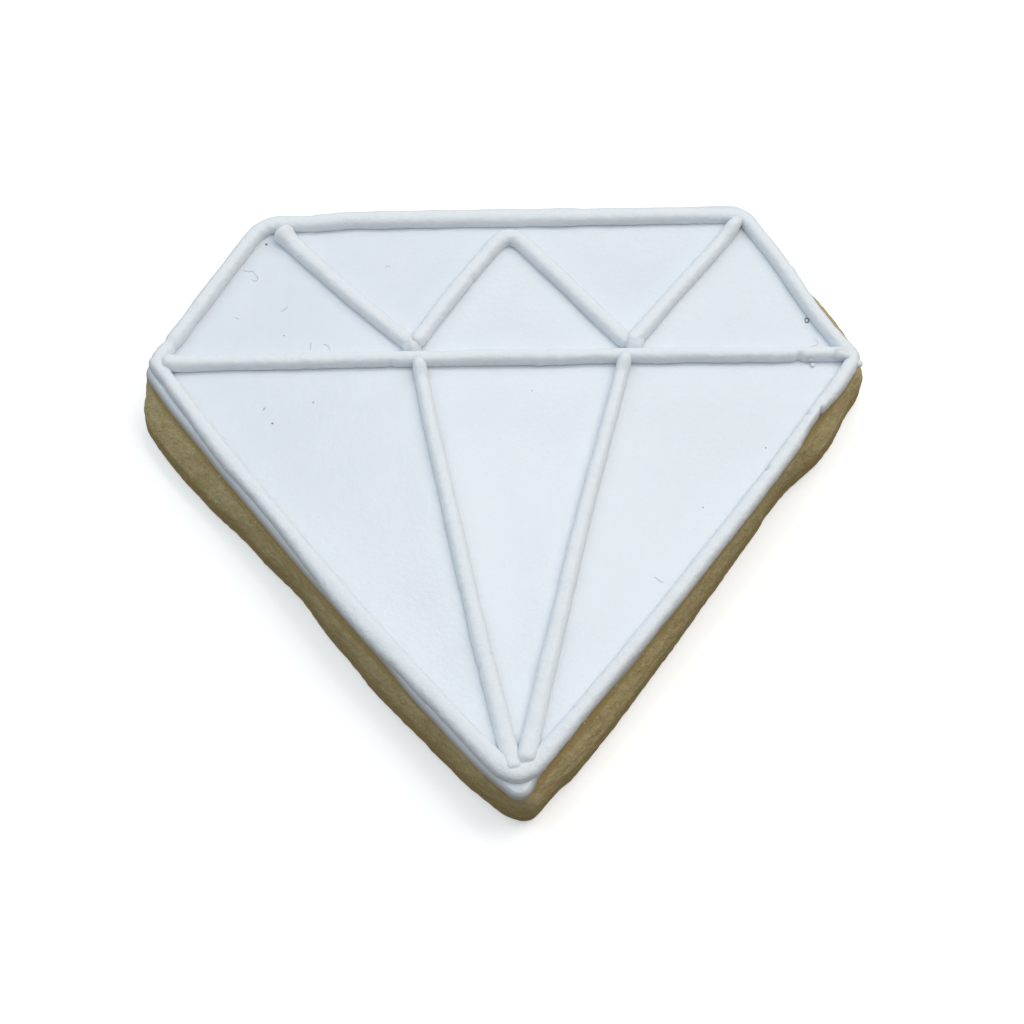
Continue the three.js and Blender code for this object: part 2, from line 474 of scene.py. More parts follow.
@dataclass(frozen=True)
class IcingFinish:
    """Set royal icing: satin, close-grained and faintly translucent."""

    name: str
    pale: Colour
    dull: Colour
    roughness: float
    grain_size: float
    grain_depth: float
    glow: float = 0.3
    glow_reach: float = 1.1
    glow_tint: Colour = (1.0, 0.95, 0.85)
    mottled: tuple[float, float] = (0.35, 0.65)
    rough_swing: float = 0.04
    bending: float = 1.45
    # Painted shade: below this height the sheet's side turns a darker, warmer grey. It stands in for
    # the shadow under the piped border and the biscuit's brown light on it.
    painted_rim_shade: Colour | None = None
    painted_rim_shade_height: float = 0.0
    painted_rim_shade_fade: float = 0.25

    def build(self, grain: bpy.types.NodeTree) -> bpy.types.Material:
        """Make the material.

        Args:
            grain: the shared grain group.

        Returns:
            The icing's material.
        """
        material, wiring = start_finish(self.name)
        place = wiring.node("ShaderNodeTexCoord", {}).outputs["Object"]
        grained = wiring.grained(grain, place, self.grain_size)
        patch = wiring.spread(grained.outputs["Mottle"], *self.mottled)
        colour = wiring.blend(patch, opaque(self.dull), opaque(self.pale))
        # Painted shade on the lower side of the sheet's rim.
        if self.painted_rim_shade is not None:
            low = wiring.spread(wiring.height_of(place), (self.painted_rim_shade_height + self.painted_rim_shade_fade) * MM,
                                (self.painted_rim_shade_height - self.painted_rim_shade_fade) * MM)
            colour = wiring.blend(low, colour, opaque(self.painted_rim_shade))
        rough = wiring.spread(grained.outputs["Mottle"], *self.mottled,
                              self.roughness - self.rough_swing, self.roughness + self.rough_swing)
        relief = wiring.relief(grained.outputs["Height"], self.grain_depth)
        shader = wiring.node("ShaderNodeBsdfPrincipled", {
            "Base Color": colour, "Roughness": rough, "Normal": relief,
            "Subsurface Weight": self.glow, "Subsurface Radius": self.glow_tint,
            "Subsurface Scale": self.glow_reach * MM, "IOR": self.bending})
        wiring.node("ShaderNodeOutputMaterial", {"Surface": shader.outputs["BSDF"]})
        return material


@dataclass(frozen=True)
class BiscuitFinish:
    """Baked crumb: dry and finely pitted, darker low on its wall, partly real browning where it met
    the tray and partly painted shade, and darker just under the icing as painted shade.
    """

    name: str
    crumb: Colour
    crumb_dark: Colour
    # Partly real browning where the biscuit met the tray, partly painted shade: the lower wall is
    # made darker as if in shadow.
    browned_and_shaded: Colour
    fleck: Colour
    roughness: float
    grain_size: float
    grain_depth: float
    browned_and_shaded_height: float
    browned_and_shaded_fade: float = 0.25
    browned_and_shaded_waver: float = 0.6
    # Painted shade: the crumb darkens towards the icing's edge, standing in for the shadow under the
    # flooded sheet's rim.
    painted_under_icing_shade: Colour = (0.43, 0.315, 0.13)
    painted_under_icing_shade_depth: float = 0.55
    painted_under_icing_shade_full: float = 0.11
    browned_and_shaded_patch: float = 3.0
    mottled: tuple[float, float] = (0.38, 0.62)
    fleck_size: float = 0.55
    fleck_share: tuple[float, float] = (0.68, 0.75)
    glow: float = 0.12
    glow_tint: Colour = (1.0, 0.7, 0.4)
    glow_reach: float = 0.8
    shine: float = 0.25

    def build(self, grain: bpy.types.NodeTree) -> bpy.types.Material:
        """Make the material.

        Args:
            grain: the shared grain group.

        Returns:
            The biscuit's material.
        """
        material, wiring = start_finish(self.name)
        place = wiring.node("ShaderNodeTexCoord", {}).outputs["Object"]
        grained = wiring.grained(grain, place, self.grain_size)
        patch = wiring.spread(grained.outputs["Mottle"], *self.mottled)
        crumb = wiring.blend(patch, opaque(self.crumb_dark), opaque(self.crumb))
        # The lower wall darkens below a wavering height: partly browning, partly painted shade.
        uneven = wiring.math("MULTIPLY", wiring.noise(place, self.browned_and_shaded_patch, 3.0),
                             self.browned_and_shaded_waver * MM)
        height = wiring.height_of(place)
        lift = wiring.math("ADD", height, uneven)
        low = wiring.spread(lift, (self.browned_and_shaded_height + self.browned_and_shaded_fade) * MM,
                            (self.browned_and_shaded_height - self.browned_and_shaded_fade) * MM)
        # Painted shade just under the icing's rim.
        near_icing = wiring.spread(height, (BISCUIT_TOP - self.painted_under_icing_shade_depth) * MM,
                                   (BISCUIT_TOP - self.painted_under_icing_shade_full) * MM)
        under_icing_shaded = wiring.blend(near_icing, crumb, opaque(self.painted_under_icing_shade))
        browned_and_shaded_crumb = wiring.blend(low, under_icing_shaded, opaque(self.browned_and_shaded))
        specks = wiring.spread(wiring.noise(place, self.fleck_size, 2.0), *self.fleck_share)
        colour = wiring.blend(specks, browned_and_shaded_crumb, opaque(self.fleck))
        relief = wiring.relief(grained.outputs["Height"], self.grain_depth)
        shader = wiring.node("ShaderNodeBsdfPrincipled", {
            "Base Color": colour, "Roughness": self.roughness,
            "Normal": relief, "Subsurface Weight": self.glow,
            "Subsurface Radius": self.glow_tint, "Subsurface Scale": self.glow_reach * MM,
            "Specular IOR Level": self.shine})
        wiring.node("ShaderNodeOutputMaterial", {"Surface": shader.outputs["BSDF"]})
        return material


@dataclass(frozen=True)
class PlainFinish:
    """A small thing's single tone, faintly mottled."""

    name: str
    tone: Colour
    roughness: float
    mottle_size: float = 0.8
    darkest: float = 0.98

    def build(self) -> bpy.types.Material:
        """Make the material.

        Returns:
            The material.
        """
        material, wiring = start_finish(self.name)
        place = wiring.node("ShaderNodeTexCoord", {}).outputs["Object"]
        mottle = wiring.noise(place, self.mottle_size, 2.0)
        darker = tuple(self.darkest * part for part in self.tone)
        colour = wiring.blend(mottle, opaque(darker), opaque(self.tone))
        shader = wiring.node("ShaderNodeBsdfPrincipled", {
            "Base Color": colour, "Roughness": self.roughness})
        wiring.node("ShaderNodeOutputMaterial", {"Surface": shader.outputs["BSDF"]})
        return material


@dataclass(frozen=True)
class FloorFinish:
    """A pale matte table top that throws little light back up at the cookie's sides."""

    name: str = "table_top"
    seen: Colour = (0.9, 0.9, 0.9)
    thrown: Colour = (0.2, 0.19, 0.17)
    lit: float = 0.42

    def build(self) -> bpy.types.Material:
        """Make the material.

        Returns:
            The material.
        """
        material, wiring = start_finish(self.name)
        direct = wiring.node("ShaderNodeLightPath", {}).outputs["Is Camera Ray"]
        seen = wiring.node("ShaderNodeBsdfDiffuse", {"Color": opaque(self.seen)})
        lit = wiring.node("ShaderNodeEmission", {"Strength": self.lit})
        bright = wiring.node("ShaderNodeAddShader", {"0": seen.outputs[0], "1": lit.outputs[0]})
        thrown = wiring.node("ShaderNodeBsdfDiffuse", {"Color": opaque(self.thrown)})
        shader = wiring.node("ShaderNodeMixShader", {
            "0": direct, "1": thrown.outputs[0], "2": bright.outputs[0]})
        wiring.node("ShaderNodeOutputMaterial", {"Surface": shader.outputs[0]})
        return material


# ---- biscuit ----

@dataclass
class Biscuit:
    """The baked biscuit: an upright cut wall, a ridge, and a shelf that slopes up to the icing."""

    name: str = "baked_biscuit"
    step: float = 0.33
    foot_inset: float = 0.8
    foot_share: float = 0.28
    wall_soften: float = 3.0
    rim_soften: float = 1.5
    ridge_height: float = 4.3
    ridge_waver: Unevenness = Unevenness(0.5, size=9.0, seed=3.1)
    edge_wavers: tuple[Unevenness, ...] = (
        Unevenness(0.22, size=14.0, seed=7.7), Unevenness(0.077, size=4.0, seed=1.3))
    crumb: tuple[Unevenness, ...] = (
        Unevenness(0.08, size=0.8, seed=5.5), Unevenness(0.064, size=2.1, seed=9.1))
    layers: Unevenness = Unevenness(0.08, size=3.4, seed=2.9)
    layering: float = 4.0
    ridge_inset: float = 0.12
    ridge_start: float = 0.88
    shelf_bulge: float = 0.16
    bulges: tuple[Bulge, ...] = (
        Bulge(0.045, 10.0, 0.6),
        Bulge(0.068, 5.0, 0.25),
        Bulge(0.123, 8.0, -0.65),
        Bulge(0.158, 5.0, -0.2),
        Bulge(0.183, 8.0, 0.2),
        Bulge(0.517, 7.0, 0.6),
        Bulge(0.475, 5.0, -0.2),
        Bulge(0.54, 6.0, -0.3),
        Bulge(0.586, 12.0, 1.62),
        Bulge(0.503, 6.0, 0.4),
        Bulge(0.5585, 5.0, -0.35),
        Bulge(0.259, 6.0, -0.45),
        Bulge(0.293, 4.5, -0.6),
    )
    wall_rows: int = 14
    shelf_rows: int = 16
    cover_rows: int = 10
    wall: Route = field(init=False)
    rim: Route = field(init=False)

    def __post_init__(self) -> None:
        """Take the wall's and the rim's outlines from the frame."""
        self.wall = outline("biscuit", 1.0, soften=self.wall_soften)
        self.rim = outline("biscuit", BISCUIT_TOP, soften=self.rim_soften)

    def build(self, finish: bpy.types.Material) -> bpy.types.Object:
        """Model the biscuit.

        Args:
            finish: baked crumb material.

        Returns:
            The piece that stands for the CAD biscuit.
        """
        rows = 2 * self.cover_rows + self.wall_rows + self.shelf_rows
        wall = ring_of(self.wall, self.step, self.bulges)
        columns = len(wall.plain)
        rim = [self.rim.nearest(point) for point in wall.plain]

        def place(column: int, row: int) -> Vector:
            """Place in mm of one column and row of the skin."""
            i = column % columns
            return self._surface(row, wall.pushed[i], wall.outward[i], rim[i], wall.middle)

        made = piece(self.name, laid_skin(columns, rows, place), finish)
        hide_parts("biscuit")
        return made

    def _surface(self, row: int, wall: Vector, outward: Vector, rim: Vector,
                 middle: Vector) -> Vector:
        """Place on the biscuit's skin.

        Args:
            row: row of the skin, from the middle of the underside to the middle of the top.
            wall: the wall's outline here.
            outward: direction out of the wall.
            rim: the rim under the icing here.
            middle: middle of the biscuit.

        Returns:
            The place in mm.
        """
        side = row - self.cover_rows
        foot = wall - outward * self.foot_inset
        if side <= 0:
            spot = middle.lerp(foot, row / self.cover_rows)
            return Vector((spot.x, spot.y, 0.0))
        ridge = self.ridge_height + self.ridge_waver.at(wall.x, wall.y)
        drift = sum(uneven.at(wall.x, wall.y) for uneven in self.edge_wavers)
        if side <= self.wall_rows:
            rise = side / self.wall_rows
            height = ridge * rise
            inset = self.foot_inset * max(0.0, 1 - rise / self.foot_share) ** 2
            inset += self.ridge_inset * ease(self.ridge_start, 1.0, rise)
            spot = wall + outward * (drift * ease(0.0, 0.4, rise) - inset)
        elif side < self.wall_rows + self.shelf_rows:
            rise = (side - self.wall_rows) / self.shelf_rows
            height = ridge + (BISCUIT_TOP - ridge) * rise
            start = wall + outward * (drift - self.ridge_inset)
            bulge = self.shelf_bulge * math.sin(math.pi * rise)
            spot = start.lerp(rim, rise) + outward * bulge
        else:
            covered = (side - self.wall_rows - self.shelf_rows) / self.cover_rows
            spot = rim.lerp(middle, covered)
            return Vector((spot.x, spot.y, BISCUIT_TOP))
        rough = sum(uneven.at(spot.x, spot.y, height) for uneven in self.crumb)
        rough += self.layers.at(spot.x, spot.y, self.layering * height)
        spot = spot + outward * rough
        return Vector((spot.x, spot.y, height))


# ---- flooded icing ----

@dataclass
class FloodedIcing:
    """The flooded sheet: nearly flat, with a soft rim that droops on to the biscuit."""

    name: str = "flooded_icing"
    step: float = 0.33
    rim_slope: float = 0.55
    undercut: float = 0.3
    widest: float = 0.7
    widest_ring: float = 0.6
    edge_soften: float = 0.7
    rim_waver: Unevenness = Unevenness(0.16, size=7.0, seed=2.2)
    foot_waver: Unevenness = Unevenness(0.12, size=5.0, seed=8.8)
    rim_roundness: float = 1.7
    rim_drop: float = 1.15
    rolls: tuple[Unevenness, ...] = (
        Unevenness(0.1, size=17.0, seed=4.4), Unevenness(0.04, size=7.0, seed=6.1))
    settled: float = 0.06
    dish: float = 0.11
    dish_reach: float = 3.6
    top_rows: int = 46
    rim_rows: int = 18
    cover_rows: int = 8
    bulges: tuple[Bulge, ...] = (
        Bulge(0.25, 16.0, 0.35),
        Bulge(0.13, 32.0, -0.35),
        Bulge(0.284, 3.0, 0.45),
        Bulge(0.318, 14.0, -0.5),
        Bulge(0.588, 13.0, -0.6),
        Bulge(0.521, 5.5, -0.6),
    )
    edge: Route = field(init=False)
    middle: Vector = field(init=False)
    crests: np.ndarray = field(init=False)
    crest_step: float = 0.5

    def __post_init__(self) -> None:
        """Take the sheet's outline from the frame, where it is widest, and its middle."""
        self.edge = outline("flood_icing", BISCUIT_TOP + self.widest_ring, soften=self.edge_soften)
        low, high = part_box("flood_icing")
        self.middle = ((low + high) / (2 * MM)).xy

    def sag_between(self, routes: list[Route]) -> None:
        """Let the sheet sag a little between the lines piped on it."""
        self.crests = np.array([tuple(route.point(step * self.crest_step)) for route in routes
                                for step in range(round(route.length / self.crest_step))])

    def build(self, finish: bpy.types.Material) -> bpy.types.Object:
        """Model the sheet.

        Args:
            finish: icing material.

        Returns:
            The piece that stands for the CAD sheet.
        """
        rows = self.top_rows + self.rim_rows + self.cover_rows
        edge = ring_of(self.edge, self.step, self.bulges)
        columns = len(edge.plain)

        def place(column: int, row: int) -> Vector:
            """Place in mm of one column and row of the skin."""
            i = column % columns
            return self._surface(row, edge.pushed[i], edge.outward[i], edge.middle)

        made = piece(self.name, laid_skin(columns, rows, place), finish)
        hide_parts("flood_icing")
        return made

    def _surface(self, row: int, edge: Vector, outward: Vector, middle: Vector) -> Vector:
        """Place on the sheet's skin.

        Args:
            row: row of the skin, from the middle of the top to the middle of the underside.
            edge: the sheet's outline here.
            outward: direction out of the edge.
            middle: middle of the sheet.

        Returns:
            The place in mm.
        """
        drift = self.rim_waver.at(edge.x, edge.y)
        inner = edge + outward * (drift - self.rim_slope)
        if row <= self.top_rows:
            spot = middle.lerp(inner, row / self.top_rows)
            return Vector((spot.x, spot.y, self.top_height(spot)))
        side = row - self.top_rows
        if side <= self.rim_rows:
            down = 2 * side / self.rim_rows
            top = self.top_height(inner)
            waist = BISCUIT_TOP + self.widest
            if down <= 1:
                reach = self.rim_slope * (1 - (1 - down) ** self.rim_roundness)
                height = waist + (top - waist) * (1 - down ** self.rim_drop)
            else:
                fall = 1 - math.sin(math.pi * down / 2)
                reach = self.rim_slope - self.undercut * fall
                height = waist + (waist - BISCUIT_TOP) * math.cos(math.pi * down / 2)
                height += fall * self.foot_waver.at(edge.x, edge.y)
            spot = inner + outward * reach
            return Vector((spot.x, spot.y, height))
        covered = (side - self.rim_rows) / self.cover_rows
        spot = (inner + outward * (self.rim_slope - self.undercut)).lerp(middle, covered)
        return Vector((spot.x, spot.y, BISCUIT_TOP))

    def top_height(self, spot: Vector) -> float:
        """Height in mm of the sheet's top, which rolls very gently."""
        roll = sum(uneven.at(spot.x, spot.y) for uneven in self.rolls) - self.settled
        gaps = (self.crests - np.array(spot)) / self.dish_reach
        held = float(np.exp(-(gaps ** 2).sum(axis=1)).sum()) * self.crest_step / self.dish_reach
        return FLOOD_TOP + roll - self.dish * math.exp(-held)


# ---- piped lines ----

class Side(Enum):
    """Which side of a piped line a mark is on, looking the way it was piped."""

    LEFT = 1
    RIGHT = -1
    BOTH = 0


@dataclass(frozen=True)
class Mark:
    """A small fault in a piped line: a nick, a lump, a ring or a squeezed waist.

    It is at a share of the line's length, it reaches some mm each way, and it changes the
    line's width and height by a share.
    """

    at: float
    reach: float
    width: float = 0.0
    height: float = 0.0
    side: Side = Side.BOTH
    slant: float = 0.0


@dataclass(frozen=True)
class Ending:
    """How one end of a piped line finishes."""

    reach: float
    rounding: float
    swelling: float = 0.0
    lift: float = 0.0
    climb: float = 3.0


@dataclass(frozen=True)
class Drop:
    """A drop of icing at a share of a line's length, and how far in mm it is to its left."""

    at: float
    across: float
    radius: float
    up: float
    flat: float = 1.0


@dataclass
class PipedLine:
    """One line piped through a round nozzle on to the set sheet."""

    name: str
    node: str
    widths: tuple[float, float]
    towards: tuple[float, float] = (1.0, 0.0)
    start: Ending = Ending(0.0, 1.0)
    finish: Ending = Ending(0.0, 1.0)
    marks: tuple[Mark, ...] = ()
    drops: tuple[Drop, ...] = ()
    tail: tuple[Drop, ...] = ()
    tail_step: float = 0.09
    tail_sides: int = 16
    shifts: tuple[Bulge, ...] = ()
    seed: float = 1.0
    closed: bool = False
    step: float = 0.22
    section_steps: int = 28
    belly: float = 0.1
    sunk: float = 0.25
    fullness: float = 0.79
    plumpness: float = 1.04
    tallness: float = 0.96
    unevenness: float = 0.065
    lump_sizes: tuple[float, float] = (3.6, 1.4)
    small_lumps: float = 0.6
    wander: float = 0.1
    wander_size: float = 9.0
    grain: float = 0.045
    grain_size: float = 0.7
    bulb_reach: float = 1.8
    climb_start: float = 0.3
    side_blend: float = 0.6
    border_soften: float = 0.9
    tail_soften: float = 0.5
    route: Route = field(init=False)

    def __post_init__(self) -> None:
        """Take the line's route from the frame."""
        if self.closed:
            self.route = outline(self.node, PIPED_TOP, soften=self.border_soften)
        else:
            ends = (self.start.reach, self.finish.reach)
            self.route = stroke_route(self.node, self.towards, ends)

    def build(self, finish: bpy.types.Material) -> bpy.types.Object:
        """Model the line.

        Args:
            finish: icing material.

        Returns:
            The piece that stands for the CAD line.
        """
        length = self.route.length
        columns = round(length / self.step)
        stations = [self._station(length * i / columns) for i in range(columns + 1)]
        if self.closed:
            stations[-1] = stations[0]

        def place(column: int, row: int) -> Vector:
            """Place in mm of one column and row of the skin."""
            turn = 2 * math.pi * (row % self.section_steps) / self.section_steps
            return self._section(stations[column], turn)

        skin = laid_skin(columns, self.section_steps, place)
        for drop in self.drops:
            self._add_drop(skin, drop)
        if self.tail:
            self._add_tail(skin)
        made = piece(self.name, skin, finish)
        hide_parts(self.node)
        return made

    def _station(self, distance: float) -> tuple[float, Vector, Vector, float, float, float]:
        """Work out the line at one distance.

        Args:
            distance: distance in mm from the start.

        Returns:
            The distance, place, heading, half width, height and lift there.
        """
        share = distance / self.route.length
        spot, heading = self.route.point(distance), self.route.heading(distance)
        left = left_of(heading)
        spot += left * self.wander * waver(spot.x, spot.y, 0, self.wander_size, self.seed)
        spot -= left * sum(shift.push(distance, self.route.length) for shift in self.shifts)
        width = self.widths[0] + (self.widths[1] - self.widths[0]) * share
        large, small = self.lump_sizes
        lumps = waver(spot.x, spot.y, 0, large, 2 * self.seed)
        lumps += self.small_lumps * waver(spot.x, spot.y, 0, small, 3 * self.seed)
        half = self.plumpness * width / 2 * (1 + self.unevenness * lumps)
        tall = (PIPED_TOP - FLOOD_TOP) * (self.tallness + self.unevenness * lumps)
        lift = 0.0
        if not self.closed:
            for ending, gap in ((self.start, distance),
                                (self.finish, self.route.length - distance)):
                closing = min(1.0, gap / ending.rounding)
                round_off = math.sqrt(max(0.0, 1 - (1 - closing) ** 2))
                bulb = 1 + ending.swelling * swell(gap - ending.rounding,
                                                   self.bulb_reach * ending.rounding)
                half *= round_off * bulb
                tall *= round_off * bulb
                start = self.climb_start * ending.climb
                lift += ending.lift * (1 - ease(start, ending.climb, gap))
        return distance, spot, heading, half, tall, lift

    def _section(self, station: tuple[float, Vector, Vector, float, float, float],
                 turn: float) -> Vector:
        """Place on the line's skin.

        Args:
            station: what _station gives.
            turn: angle round the section, from the left side over the top.

        Returns:
            The place in mm.
        """
        distance, spot, heading, half, tall, lift = station
        across, up = (math.copysign(abs(part) ** self.fullness, part)
                      for part in (math.cos(turn), math.sin(turn)))
        wide, high = 1.0, 1.0
        for mark in self.marks:
            gap = distance - mark.at * self.route.length - mark.slant * across
            hold = swell(gap, mark.reach)
            if mark.side is not Side.BOTH:
                hold *= ease(0.0, self.side_blend, across * mark.side.value)
            wide += mark.width * hold
            high += mark.height * hold
        belly = self.belly * tall
        if up >= 0:
            height = belly + (tall - belly) * up
        else:
            height = belly + (belly + self.sunk) * up
        left = left_of(heading)
        side = spot + left * (across * half * wide)
        height *= high
        rough = self.grain * waver(side.x, side.y, height, self.grain_size, self.seed)
        rough *= min(1.0, 2 * half)
        side += left * (across * rough)
        return Vector((side.x, side.y, FLOOD_TOP + lift + height + up * rough))

    def _add_drop(self, skin: bmesh.types.BMesh, drop: Drop) -> None:
        """Join a rounded drop to the line's mesh.

        Args:
            skin: the line's mesh, in metres.
            drop: the drop.
        """
        spot = self._beside(drop)
        centre = Vector((spot.x, spot.y, FLOOD_TOP + drop.up)) * MM
        squash = Matrix.Diagonal((1.0, 1.0, drop.flat, 1.0))
        bmesh.ops.create_icosphere(skin, subdivisions=3, radius=drop.radius * MM,
                                   matrix=Matrix.Translation(centre) @ squash)

    def _beside(self, drop: Drop) -> Vector:
        """Place in mm, seen from above, of a drop along and beside the line."""
        distance = drop.at * self.route.length
        heading = self.route.heading(min(distance, self.route.length))
        spot = self.route.point(min(distance, self.route.length))
        spot += heading * max(0.0, distance - self.route.length)
        return spot + left_of(heading) * drop.across

    def _add_tail(self, skin: bmesh.types.BMesh) -> None:
        """Join the fine string of icing pulled out past the line's end.

        Args:
            skin: the line's mesh, in metres.
        """
        spots = [tuple(self._beside(drop)) for drop in self.tail]
        line = Route(np.array(spots), closed=False, soften=self.tail_soften)
        columns = round(line.length / self.tail_step)
        bends = np.linspace(0.0, line.length, len(self.tail))
        radii, ups = [drop.radius for drop in self.tail], [drop.up for drop in self.tail]

        def place(column: int, row: int) -> Vector:
            """Place in mm of one column and row of the string's skin."""
            distance = line.length * column / columns
            spot, heading = line.point(distance), line.heading(distance)
            radius = float(np.interp(distance, bends, radii))
            closing = min(1.0, min(distance, line.length - distance) / radius)
            radius *= math.sqrt(max(0.0, 1 - (1 - closing) ** 2))
            turn = 2 * math.pi * (row % self.tail_sides) / self.tail_sides
            side = spot + left_of(heading) * (radius * math.cos(turn))
            up = float(np.interp(distance, bends, ups)) + radius * math.sin(turn)
            return Vector((side.x, side.y, FLOOD_TOP + up))

        lay_on(skin, columns, self.tail_sides, place)


BORDER = PipedLine(
    name="border_line", node="piped_border", widths=(2.0, 2.0), closed=True, seed=1.7,
    shifts=(Bulge(0.59, 12.0, -0.45), Bulge(0.885, 7.0, -0.4)),
    marks=(
        Mark(0.0, 1.5, width=0.2, height=0.05),
        Mark(0.012, 1.2, width=-0.1, height=-0.08),
        Mark(0.989, 0.9, width=-0.12, height=-0.12),
        Mark(0.27, 17.0, width=0.4, side=Side.RIGHT),
        Mark(0.18, 19.0, width=0.6, side=Side.RIGHT),
        Mark(0.062, 8.0, width=0.22, side=Side.RIGHT),
        Mark(0.52, 5.0, width=-0.45, side=Side.RIGHT),
        Mark(0.281, 7.0, width=0.12, side=Side.LEFT),
        Mark(0.588, 10.0, width=-0.2, side=Side.RIGHT),
        Mark(0.8, 30.0, width=0.08),
        Mark(0.782, 33.0, width=0.16, side=Side.LEFT),
        Mark(0.528, 0.5, width=-0.3, height=-0.25, side=Side.RIGHT, slant=0.7),
        Mark(0.519, 0.6, width=-0.2, height=-0.1, side=Side.LEFT, slant=0.4),
        Mark(0.483, 0.8, width=-0.3, height=-0.1, side=Side.LEFT),
        Mark(0.62, 0.9, width=0.1, height=0.12, side=Side.RIGHT),
    ),
)
GIRDLE = PipedLine(
    name="girdle_line", node="piped_girdle", widths=(1.95, 1.68), seed=4.2,
    start=Ending(reach=0.4, rounding=1.0, swelling=0.06, lift=0.4, climb=3.2),
    finish=Ending(reach=1.0, rounding=1.6, lift=0.1, climb=3.0),
    marks=(
        Mark(0.925, 0.7, width=-0.35, height=-0.15, side=Side.RIGHT, slant=0.5),
        Mark(0.937, 0.6, width=0.12, side=Side.RIGHT),
        Mark(0.33, 0.6, width=-0.14, side=Side.RIGHT),
        Mark(0.72, 3.5, width=0.14, side=Side.RIGHT),
        Mark(0.62, 2.5, width=-0.1, side=Side.RIGHT),
        Mark(0.545, 0.8, width=0.16, side=Side.RIGHT),
        Mark(0.575, 0.6, width=0.14, side=Side.RIGHT),
        Mark(0.8, 1.2, width=0.1, side=Side.RIGHT),
        Mark(0.845, 0.9, width=-0.12, side=Side.RIGHT),
        Mark(0.885, 0.8, width=0.1, side=Side.RIGHT),
        Mark(0.12, 1.4, width=0.07, side=Side.LEFT),
        Mark(0.21, 1.0, width=-0.08, side=Side.RIGHT),
    ),
    drops=(
        Drop(0.937, -0.6, radius=0.5, up=0.6, flat=0.8),
        Drop(0.94, -1.4, radius=0.28, up=0.15, flat=0.8),
        Drop(1.006, -1.6, radius=0.5, up=0.75),
    ),
    tail=(
        Drop(0.968, -0.1, radius=0.7, up=0.75),
        Drop(0.985, -0.5, radius=0.68, up=1.15),
        Drop(0.997, -1.1, radius=0.46, up=1.3),
        Drop(1.004, -1.5, radius=0.34, up=1.0),
        Drop(1.006, -1.65, radius=0.3, up=0.75),
    ),
)
CROWN_LEFT = PipedLine(
    name="crown_left_line", node="piped_crown_left", widths=(2.2, 1.95), seed=6.3,
    start=Ending(reach=0.3, rounding=1.15, swelling=0.2, lift=0.4, climb=3.4),
    finish=Ending(reach=1.3, rounding=1.3, lift=0.1, climb=2.0),
)
CROWN_PEAK = PipedLine(
    name="crown_peak_line", node="piped_crown_peak", widths=(1.95, 2.15), seed=8.9,
    start=Ending(reach=1.5, rounding=1.4, lift=0.35, climb=3.0),
    finish=Ending(reach=1.4, rounding=1.3, lift=0.1, climb=2.0),
    marks=(Mark(0.29, 0.7, width=-0.1, height=-0.06, side=Side.RIGHT),),
    drops=(
        Drop(0.012, 0.55, radius=1.4, up=0.5, flat=0.78),
        Drop(0.99, 0.65, radius=1.45, up=0.5, flat=0.78),
    ),
)
CROWN_RIGHT = PipedLine(
    name="crown_right_line", node="piped_crown_right", widths=(2.1, 1.8), seed=3.4,
    start=Ending(reach=1.3, rounding=1.2, lift=0.2, climb=2.5),
    finish=Ending(reach=0.35, rounding=2.6, lift=0.8, climb=4.2),
)
PAVILION_LEFT = PipedLine(
    name="pavilion_left_line", node="piped_pavilion_left", widths=(1.8, 2.25),
    towards=(0.0, -1.0), seed=5.8,
    start=Ending(reach=0.9, rounding=2.4, lift=0.75, climb=3.6),
    finish=Ending(reach=1.5, rounding=1.0, swelling=0.02, lift=0.1, climb=2.5),
    marks=(
        Mark(0.573, 0.7, width=-0.1, side=Side.RIGHT),
        Mark(0.756, 0.7, width=-0.12, side=Side.RIGHT),
        Mark(0.06, 0.6, width=-0.12, side=Side.LEFT),
    ),
)
PAVILION_RIGHT = PipedLine(
    name="pavilion_right_line", node="piped_pavilion_right", widths=(1.75, 2.35),
    towards=(0.0, -1.0), seed=2.6,
    start=Ending(reach=1.1, rounding=1.6, lift=0.8, climb=3.6),
    finish=Ending(reach=1.4, rounding=1.15, swelling=0.02, lift=0.4, climb=5.0),
    marks=(
        Mark(0.572, 0.6, width=0.05, height=0.03),
        Mark(0.815, 0.8, width=-0.05, height=-0.02),
    ),
)
PIPED_LINES = (BORDER, GIRDLE, CROWN_LEFT, CROWN_PEAK, CROWN_RIGHT, PAVILION_LEFT,
               PAVILION_RIGHT)


# ---- what stuck to the icing ----

@dataclass(frozen=True)
class Fibre:
    """A hair-fine fibre: where it starts from the sheet's middle, and its links' directions."""

    start: tuple[float, float]
    link: float
    headings: tuple[float, ...]


